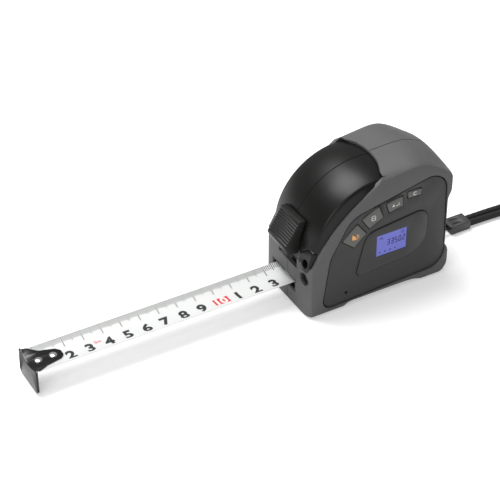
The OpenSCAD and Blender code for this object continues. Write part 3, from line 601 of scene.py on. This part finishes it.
def on_blade(mesh, x, s, lift):
    """Lays flat lettering on the blade, cut every millimetre so that it can bend."""
    shape = bmesh.new()
    shape.from_mesh(mesh)
    bmesh.ops.remove_doubles(shape, verts=shape.verts, dist=1e-4)
    for k in range(-6, 7):
        geom = shape.verts[:] + shape.edges[:] + shape.faces[:]
        bmesh.ops.bisect_plane(shape, geom=geom, plane_co=(0, k, 0), plane_no=(0, 1, 0), dist=1e-5)
    for v in shape.verts:
        v.co = Vector(bent(x + v.co.x, s + v.co.y, lift + v.co.z))
    shape.to_mesh(mesh)
    shape.free()
    return mesh


def joined(meshes):
    shape = bmesh.new()
    for mesh in meshes:
        shape.from_mesh(mesh)
    mesh = bpy.data.meshes.new("joined")
    shape.to_mesh(mesh)
    shape.free()
    return mesh


# ---------------------------------------------------------------- strap

STRAP_ROUTE = [
    (110.2, 8.25, 2.1), (116, 8.3, 2), (123, 8.2, 2), (131, 7.9, 2), (139.2, 7.3, 2),
    (149.2, 4.6, 2), (156.6, -2.8, 2), (159.3, -13, 2), (156.6, -23.2, 2), (149.2, -30.6, 2),
    (145.4, -34, 2), (142.2, -38.2, 2), (139.4, -42.7, 2), (135.2, -46.4, 2), (129.6, -47.7, 2),
    (124.6, -45.6, 2), (121.8, -40.7, 2), (122.6, -35.4, 2), (126.6, -31.3, 2), (131.8, -29.5, 2),
    (137, -29, 2), (142.2, -29, 2), (147.6, -27.2, 2), (153.2, -21.2, 2), (155.4, -13, 2),
    (153.2, -4.8, 2), (147.2, 1.2, 2), (138.8, 3.4, 2), (131, 3.9, 2), (123, 4.3, 2),
    (116, 4.5, 2), (110.2, 4.55, 2.1),
]


def smooth_route(points, each=16):
    """A smooth path through the points."""
    p = np.array(points, float)
    p = np.vstack([2 * p[0] - p[1], p, 2 * p[-1] - p[-2]])
    out = []
    for i in range(1, len(p) - 2):
        for k in range(each):
            t = k / each
            a, b, c, d = p[i - 1 : i + 3]
            out.append(0.5 * (2 * b + (c - a) * t + (2 * a - 5 * b + 4 * c - d) * t**2 + (3 * b - a - 3 * c + d) * t**3))
    return np.array(out + [p[-2]])


def braided_tube(path, radius, strands, pitch, relief, sides=24):
    """A closed tube whose surface rises and falls as its strands cross, with closed ends."""
    far = np.concatenate([[0], np.cumsum(np.linalg.norm(np.diff(path, axis=0), axis=1))])
    rings = []
    for i, p in enumerate(path):
        d = path[min(i + 1, len(path) - 1)] - path[max(i - 1, 0)]
        d = d / np.linalg.norm(d)
        across = np.cross([0, 0, 1.0], d)
        across /= np.linalg.norm(across)
        up = np.cross(d, across)
        ring = []
        for k in range(sides):
            a = 2 * math.pi * k / sides
            one = abs(math.sin(strands * a / 2 + math.pi * far[i] / pitch))
            two = abs(math.sin(strands * a / 2 - math.pi * far[i] / pitch))
            r = radius - relief + relief * max(one, two) ** 2
            ring.append(p + r * (math.cos(a) * across + math.sin(a) * up))
        rings.append(ring)
    return loft(rings)


# ---------------------------------------------------------------- stage

CAMERA_AT = (-0.34884, -0.63285, 0.59482)
CAMERA_RIGHT = Vector((0.8716, -0.4902, 0.0))
CAMERA_LOOK = Vector((0.3889, 0.6914, -0.6088))


def stage():
    scene = bpy.context.scene
    scene.view_settings.view_transform = "Standard"
    lens = bpy.data.cameras.new("camera")
    lens.sensor_width = 36.0
    lens.lens = 136.8
    lens.clip_start, lens.clip_end = 0.01, 20
    camera = bpy.data.objects.new("camera", lens)
    right, look = CAMERA_RIGHT.normalized(), CAMERA_LOOK.normalized()
    up = right.cross(look)
    turn = Matrix((right, up, -look)).transposed()
    camera.matrix_world = Matrix.Translation(CAMERA_AT) @ turn.to_4x4()
    scene.collection.objects.link(camera)
    scene.camera = camera
    mesh = bpy.data.meshes.new("floor")
    s = 3.0
    mesh.from_pydata([(-s, -s, -2e-4), (s, -s, -2e-4), (s, s, -2e-4), (-s, s, -2e-4)], [], [(0, 1, 2, 3)])
    floor = bpy.data.objects.new("floor", mesh)
    scene.collection.objects.link(floor)
    material = bpy.data.materials.new("Studio floor")
    material.use_nodes = True
    tree = material.node_tree
    tree.nodes.clear()
    path = add(tree, "ShaderNodeLightPath")
    seen = add(tree, "ShaderNodeMath", {"operation": "MAXIMUM"}, {0: path.outputs["Is Camera Ray"], 1: path.outputs["Is Glossy Ray"]})
    plain = add(tree, "ShaderNodeBsdfDiffuse", {}, {"Color": (0.8, 0.8, 0.8, 1)})
    place = add(tree, "ShaderNodeTexCoord")
    away = add(tree, "ShaderNodeVectorMath", {"operation": "LENGTH"}, {0: place.outputs["Object"]})
    rise = add(tree, "ShaderNodeMapRange", {"interpolation_type": "SMOOTHSTEP"}, {
        "Value": away.outputs["Value"], "From Min": 0.3, "From Max": 1.1, "To Min": 0.36, "To Max": 0.78,
    })
    glow = add(tree, "ShaderNodeEmission", {}, {"Color": (1, 1, 1, 1), "Strength": rise.outputs["Result"]})
    both = add(tree, "ShaderNodeAddShader", {}, {0: plain.outputs[0], 1: glow.outputs[0]})
    mix = add(tree, "ShaderNodeMixShader", {}, {0: seen.outputs[0], 1: plain.outputs[0], 2: both.outputs[0]})
    add(tree, "ShaderNodeOutputMaterial", {}, {"Surface": mix.outputs[0]})
    mesh.materials.append(material)
    world = bpy.data.worlds.new("studio")
    scene.world = world
    world.use_nodes = True
    tree = world.node_tree
    tree.nodes.clear()
    path = add(tree, "ShaderNodeLightPath")
    grey = add(tree, "ShaderNodeBackground", {}, {"Color": (1, 1, 1, 1), "Strength": 0.38})
    white = add(tree, "ShaderNodeBackground", {}, {"Color": (1, 1, 1, 1), "Strength": 1.0})
    mix = add(tree, "ShaderNodeMixShader", {}, {0: path.outputs["Is Camera Ray"], 1: grey.outputs[0], 2: white.outputs[0]})
    add(tree, "ShaderNodeOutputWorld", {}, {"Surface": mix.outputs[0]})
    for name, place, aim, size, power in [
        ("softbox_top", (-0.1, 0.32, 0.88), (0.02, 0, 0.03), 0.55, 10.0),
        ("softbox_left", (-0.8, -0.5, 0.6), (0.0, 0, 0.03), 0.6, 4.0),
    ]:
        light = bpy.data.lights.new(name, "AREA")
        light.size = size
        light.energy = power
        lamp = bpy.data.objects.new(name, light)
        lamp.location = place
        lamp.rotation_mode = "QUATERNION"
        lamp.rotation_quaternion = (Vector(aim) - Vector(place)).to_track_quat("-Z", "Y")
        scene.collection.objects.link(lamp)


# ---------------------------------------------------------------- tools


class MeterLooks(bpy.types.PropertyGroup):
    """Sizes of the distance meter's visible pieces."""

    cover_radius: bpy.props.FloatProperty(
        name="Cover radius", description="Radius of the round front cover at its seam",
        default=0.03795, unit="LENGTH", subtype="DISTANCE")
    cover_crown: bpy.props.FloatProperty(
        name="Cover crown", description="How far the cover falls from its seam to its sides",
        default=0.0026, unit="LENGTH", subtype="DISTANCE")
    edge: bpy.props.FloatProperty(
        name="Moulded edge", description="Radius on the edges of the panels and keys",
        default=0.0003, unit="LENGTH", subtype="DISTANCE")
    tick: bpy.props.FloatProperty(
        name="Tick width", description="Width of a graduation on the blade",
        default=0.00034, unit="LENGTH", subtype="DISTANCE")
    numeral: bpy.props.FloatProperty(
        name="Numeral size", description="Type size of the blade's numerals",
        default=0.0090, unit="LENGTH", subtype="DISTANCE")
    braid: bpy.props.FloatProperty(
        name="Braid relief", description="Height of the strap's strands over the gaps between them",
        default=0.0003, unit="LENGTH", subtype="DISTANCE")


class METER_OT_strap(bpy.types.Operator):
    """Braids the wrist strap and softens its moulded joint"""

    bl_idname = "meter.strap"
    bl_label = "Wrist strap"

    def execute(self, context):
        path = smooth_route(STRAP_ROUTE)
        mesh = placed(braided_tube(path, 1.8, 8, 3.2, context.scene.meter_looks.braid * 1000))
        strap = settle("wrist_strap", mesh, "strap_braid", "case", ("strap_cord",), crease=80)
        for s in (-1, 1):
            # Painted shade: a thin black sheet just under the joint's top darkens each of its two slots.
            dark = block(102.45, 107.35, 6.4 + s * 1.7 - 0.48, 6.4 + s * 1.7 + 0.48, 4.25, 4.34)
            settle("joint_slot_shade_" + ("near" if s < 0 else "far"), placed(dark), "print_black")
        block_piece = softened(
            "strap_block", "strap_joint", "strap_plastic", "case", 0.4, least=0.6,
            keep=lambda e: all(abs(v.co.y - 0.0064) > 0.0035 or v.co.z < 0.0008 for v in e.verts)
            or e.calc_length() > 0.0075,
        )
        return {"FINISHED"}


class METER_OT_cover(bpy.types.Operator):
    """Makes the round glossy cover's two halves with the moulded case behind them"""

    bl_idname = "meter.cover"
    bl_label = "Front cover"

    def execute(self, context):
        for side, name in ((-1, "left"), (1, "right")):
            shape = tucked_case("case_" + name)
            bmesh.ops.recalc_face_normals(shape, faces=shape.faces)
            bmesh.ops.triangulate(shape, faces=shape.faces)
            mesh = bpy.data.meshes.new("inner")
            shape.to_mesh(mesh)
            shape.free()
            shell = placed(cover(side))
            settle("cover_" + name, joined([shell, mesh]), "black_abs", "case", ("case_" + name,), crease=32)
        return {"FINISHED"}


class METER_OT_grips(bpy.types.Operator):
    """Lofts the two halves of the moulded-over grip"""

    bl_idname = "meter.grips"
    bl_label = "Grips"

    def execute(self, context):
        for side, name in ((-1, "left"), (1, "right")):
            settle("grip_shell_" + name, placed(grip(side)), "grey_rubber", "case", ("grip_" + name,), crease=24)
        return {"FINISHED"}


class METER_OT_panels(bpy.types.Operator):
    """Rolls the edges of both side panels and of the tape's mouth"""

    bl_idname = "meter.panels"
    bl_label = "Side panels and mouth"

    def execute(self, context):
        edge = context.scene.meter_looks.edge * 1000
        softened("display_panel", "keypad_panel", "panel_abs", "case", edge)
        softened("blank_panel", "plain_panel", "panel_abs", "case", edge)
        softened("tape_mouth", "mouth_guard", "black_abs", "case", 0.3)
        return {"FINISHED"}


class METER_OT_display(bpy.types.Operator):
    """Makes the raised window, the lit display under it and its segments"""

    bl_idname = "meter.display"
    bl_label = "Display"

    def execute(self, context):
        x0, x1, z0, z1 = 37.8, 55.2, 25.0, 37.5
        opening = slab(rounded([(x0, z0, .5), (x1, z0, .5), (x1, z1, .5), (x0, z1, .5)]), [(-23, 0), (-18, 0)])
        softened("display_window", "display_lens", "dark_window", "case", 0.4, cutters=[opening])
        pane = slab(rounded([(x0, z0, .5), (x1, z0, .5), (x1, z1, .5), (x0, z1, .5)]), [(-20.98, -0.02), (-19.9, -0.02)])
        settle("display_pane", placed(pane), "lcd", "case")
        marks = []

        def bar(xa, xb, za, zb, lean=0.0):
            box = block(xa, xb, -21.03, -20.97, za, zb)
            for v in box.vertices:
                v.co.x += (v.co.z - zb) * lean
            marks.append(box)

        def figure(digit, x, z, w, h, t):
            lit = {"3": "abcdg", "5": "acdfg", "0": "abcdef", "2": "abdeg", "1": "bc", "8": "abcdefg"}[digit]
            half, m = h / 2, t * 0.6
            for letter, box in {
                "a": (x + m, x + w - m, z + h - t, z + h), "d": (x + m, x + w - m, z, z + t),
                "g": (x + m, x + w - m, z + half - t / 2, z + half + t / 2),
                "b": (x + w - t, x + w, z + half + m * .5, z + h - m), "c": (x + w - t, x + w, z + m, z + half - m * .5),
                "e": (x, x + t, z + m, z + half - m * .5), "f": (x, x + t, z + half + m * .5, z + h - m),
            }.items():
                if letter in lit:
                    bar(*box, lean=0.08)

        for k, digit in enumerate("33502"):
            figure(digit, 43.9 + 2.2 * k, 30.0, 1.75, 3.6, 0.55)
        for k, digit in enumerate("12"):
            figure(digit, 51.2 + 1.5 * k, 34.6, 1.0, 1.8, 0.32)
        bar(39.3, 41.6, 35.0, 35.4)
        bar(40.0, 40.9, 35.6, 36.0)
        for k in range(4):
            bar(39.6 + 2.9 * k, 40.5 + 2.9 * k, 26.5, 27.2)
        mesh = joined(marks)
        settle("display_segments", placed(mesh), "print_blue", "case")
        return {"FINISHED"}


class METER_OT_keys(bpy.types.Operator):
    """Rolls the four keys' edges and lays a sign on each"""

    bl_idname = "meter.keys"
    bl_label = "Keys"

    def execute(self, context):
        edge = context.scene.meter_looks.edge * 1000
        for key in ("laser", "volume", "reference", "clear"):
            softened("cap_" + key, "key_" + key, "key_rubber", "key_" + key, edge)

        def sign(name, outlines, body, slot):
            mesh = joined([slab(o, [(-21.26, 0), (-21.16, 0)]) for o in outlines])
            settle(name, placed(mesh), slot, body)

        def ray(x, z, angle, r0, r1, w):
            c, s = math.cos(math.radians(angle)), math.sin(math.radians(angle))
            return [(x + c * r - s * q, z + s * r + c * q) for r, q in ((r0, -w), (r1, -w * .5), (r1, w * .5), (r0, w))]

        x, z = 25.3, 42.0
        wedge = [(x - 1.9, z + 1.7), (x - 1.9, z - 1.3), (x + 0.2, z - 1.7), (x + 0.2, z + 0.2)]
        sign("sign_laser", [wedge] + [ray(x + 0.4, z - 0.2, a, 0.7, 1.9, 0.22) for a in (-75, -40, -5, 30, 65)], "key_laser", "print_orange")
        x, z = 35.3, 49.7
        frame_bars = [
            [(x - 1.2, z - 1.5), (x - 0.85, z - 1.5), (x - 0.85, z + 1.5), (x - 1.2, z + 1.5)],
            [(x + 0.85, z - 1.5), (x + 1.2, z - 1.5), (x + 1.2, z + 0.9), (x + 0.85, z + 0.9)],
            [(x - 1.2, z - 1.5), (x + 1.2, z - 1.5), (x + 1.2, z - 1.15), (x - 1.2, z - 1.15)],
            [(x - 1.2, z + 1.15), (x + 0.8, z + 1.15), (x + 0.8, z + 1.5), (x - 1.2, z + 1.5)],
            [(x - 0.5, z - 0.2), (x + 0.5, z - 0.2), (x + 0.5, z + 0.1), (x - 0.5, z + 0.1)],
        ]
        sign("sign_volume", frame_bars, "key_volume", "print_white")
        x, z = 47.7, 53.4
        sign("sign_reference", [
            [(x - 2.0, z - 0.8), (x - 0.4, z - 0.8), (x - 1.2, z + 0.7)],
            [(x + 0.1, z - 0.8), (x + 2.1, z - 0.8), (x + 2.1, z - 0.45), (x + 0.1, z - 0.45)],
            [(x + 1.75, z - 0.8), (x + 2.1, z - 0.8), (x + 2.1, z + 0.7), (x + 1.75, z + 0.7)],
        ], "key_reference", "print_white")
        x, z = 58.7, 56.3
        turn = [math.radians(a) for a in range(40, 321, 20)]
        arc = [(x + 1.1 * math.cos(a), z + 1.1 * math.sin(a)) for a in turn]
        arc += [(x + 0.75 * math.cos(a), z + 0.75 * math.sin(a)) for a in reversed(turn)]
        sign("sign_clear", [arc], "key_clear", "print_white")
        return {"FINISHED"}


class METER_OT_slider(bpy.types.Operator):
    """Rolls the edges of the ribbed lock slider"""

    bl_idname = "meter.slider"
    bl_label = "Lock slider"

    def execute(self, context):
        softened("thumb_slider", "lock_slider", "slider_abs", "lock", 0.12, least=0.25)
        return {"FINISHED"}


class METER_OT_hook(bpy.types.Operator):
    """Rolls the edges of the pressed end hook"""

    bl_idname = "meter.hook"
    bl_label = "End hook"

    def execute(self, context):
        softened("end_hook", "hook", "hook_black", "hook", 0.22, least=0.5)
        tree, key = rivets()
        pair = from_nodes("rivets", tree, {key["Head radius"]: 2.0})
        settle("domed_rivets", placed(pair), "bright_steel", "tape", ("hook_rivets",), crease=50)
        return {"FINISHED"}


class METER_OT_blade(bpy.types.Operator):
    """Makes the hollow-ground blade and prints its graduations and numerals"""

    bl_idname = "meter.blade"
    bl_label = "Blade"

    def execute(self, context):
        looks = context.scene.meter_looks
        sweep = [9.45 * (k / 9 - 1) for k in range(19)]
        rings = []
        for x in [-136.4 + 0.5 * k for k in range(2)] + list(np.linspace(-134, 43, 60)):
            rings.append([bent(x, s) for s in sweep] + [bent(x, s, -0.2) for s in reversed(sweep)])
        pull_in(settle("tape_blade", placed(loft(rings)), "blade_steel", "case", ("blade",), crease=50))
        tree, key = ticks()
        scale = from_nodes("graduations", tree, {key["Width"]: looks.tick * 1000})
        pull_in(settle("graduations", placed(scale), "print_black", "case"))
        size = looks.numeral * 1000
        figures = [on_blade(lettering(str(k % 10), size, bold=0.36), ZERO + 10 * k, -3.3, 0.0) for k in (2, 3, 4, 5, 6, 7, 8, 9, 11, 12, 13)]
        pull_in(settle("numerals", placed(joined(figures)), "print_black", "case"))
        box = slab([(-4, -2.75), (4, -2.75), (4, 2.75), (-4, 2.75)], [(-0.02, 0), (0.02, 0)])
        box.transform(Matrix.Rotation(math.radians(90), 4, "X"))
        red = [on_blade(box, ZERO + 101, -2.9, 0.0), on_blade(lettering("5m", 2.8, bold=0.05), ZERO + 35, -0.6, 0.0)]
        pull_in(settle("red_prints", placed(joined(red)), "print_red", "case"))
        ten = on_blade(lettering("10", size * 0.78, bold=0.26, thick=0.05), ZERO + 101, -2.9, 0.02)
        pull_in(settle("white_numeral", placed(ten), "print_white", "case"))
        return {"FINISHED"}


class METER_OT_optics(bpy.types.Operator):
    """Domes the receiver's lens over its bore"""

    bl_idname = "meter.optics"
    bl_label = "Optics"

    def execute(self, context):
        turn = [2 * math.pi * i / 40 for i in range(40)]

        def revolved(z, profile):
            return loft([[(x, -15.4 + r * math.cos(t), z + r * math.sin(t)) for t in turn] for r, x in profile])

        for name, node, r, z, x in (
            ("receiver_dome", "receiver_lens", 2.28, 31, 2.6), ("laser_pane", "laser_window", 2.88, 22, 1.9),
        ):
            curve = [(r * math.cos(a), x - 0.35 * math.sin(a)) for a in [math.radians(14 * k) for k in range(7)]]
            settle(name, placed(revolved(z, [(r, x + 0.6), *curve])), "laser_glass", "case", (node,), crease=40)
        cheek = rounded([
            (-9.4, 38.5, 1), (-9.4, 30, 2), (-12.4, 26.4, 2), (-17.2, 26.4, 2), (-19.0, 29.4, 2), (-19.2, 38.5, 1),
        ])
        pad = carve(loft([
            [(x + 0.33 * max(0, z - 31), y, z) for y, z in grow(cheek, g)]
            for x, g in ((3.4, 0.5), (1.3, 0.5), (0.4, 0.35), (0.06, 0), (-0.06, -0.6))
        ]), [bore(2.3, -3, 9, -15.4, 31)])
        settle("receiver_cheek", placed(pad), "black_abs", "case", crease=50)
        for name, z, r, x in (("laser_collar", 22, 3.57, 0.35),):
            ring = revolved(z, [(r, 3.4), (r, x + 0.3), (r - 0.1, x + 0.08), (r - 0.3, x), (r - 0.5, x + 0.08), (r - 0.66, x + 0.4), (r - 0.68, 3.4)])
            shape = bmesh.new()
            shape.from_mesh(ring)
            bmesh.ops.delete(shape, geom=[f for f in shape.faces if len(f.verts) > 4], context="FACES_ONLY")
            loops = [e for e in shape.edges if e.is_boundary]
            bmesh.ops.bridge_loops(shape, edges=loops)
            shape.to_mesh(ring)
            shape.free()
            settle(name, placed(ring), "inner_plastic", "case", crease=50)
        return {"FINISHED"}


class METER_OT_insides(bpy.types.Operator):
    """Gives every part of the frame its own finish"""

    bl_idname = "meter.insides"
    bl_label = "Finishes of the frame"

    def execute(self, context):
        for row in frame["record"]["subparts"]:
            for slot in frame["nodes"][row["node"]].material_slots:
                slot.material = made_of(row["material_slot"])
        return {"FINISHED"}


class METER_OT_stage(bpy.types.Operator):
    """Sets the floor, the lamps and the camera"""

    bl_idname = "meter.stage"
    bl_label = "Stage"

    def execute(self, context):
        stage()
        return {"FINISHED"}


STEPS = [
    METER_OT_stage, METER_OT_strap, METER_OT_insides, METER_OT_cover, METER_OT_grips,
    METER_OT_panels, METER_OT_display, METER_OT_keys, METER_OT_slider, METER_OT_hook,
    METER_OT_blade, METER_OT_optics,
]


class METER_PT_panel(bpy.types.Panel):
    """Lists the tools that build the distance meter"""

    bl_label = "Distance Meter"
    bl_idname = "METER_PT_panel"
    bl_space_type = "VIEW_3D"
    bl_region_type = "UI"
    bl_category = "Distance Meter"

    def draw(self, context):
        looks = context.scene.meter_looks
        for name in ("cover_radius", "cover_crown", "edge", "tick", "numeral", "braid"):
            self.layout.prop(looks, name)
        for step in STEPS:
            self.layout.operator(step.bl_idname)


def register():
    for kind in (MeterLooks, *STEPS, METER_PT_panel):
        bpy.utils.register_class(kind)
    bpy.types.Scene.meter_looks = bpy.props.PointerProperty(type=MeterLooks)


def unregister():
    del bpy.types.Scene.meter_looks
    for kind in reversed((MeterLooks, *STEPS, METER_PT_panel)):
        bpy.utils.unregister_class(kind)


def main():
    register()
    for step in STEPS:
        getattr(bpy.ops.meter, step.bl_idname.split(".")[1])()


if __name__ == "__main__":
    main()
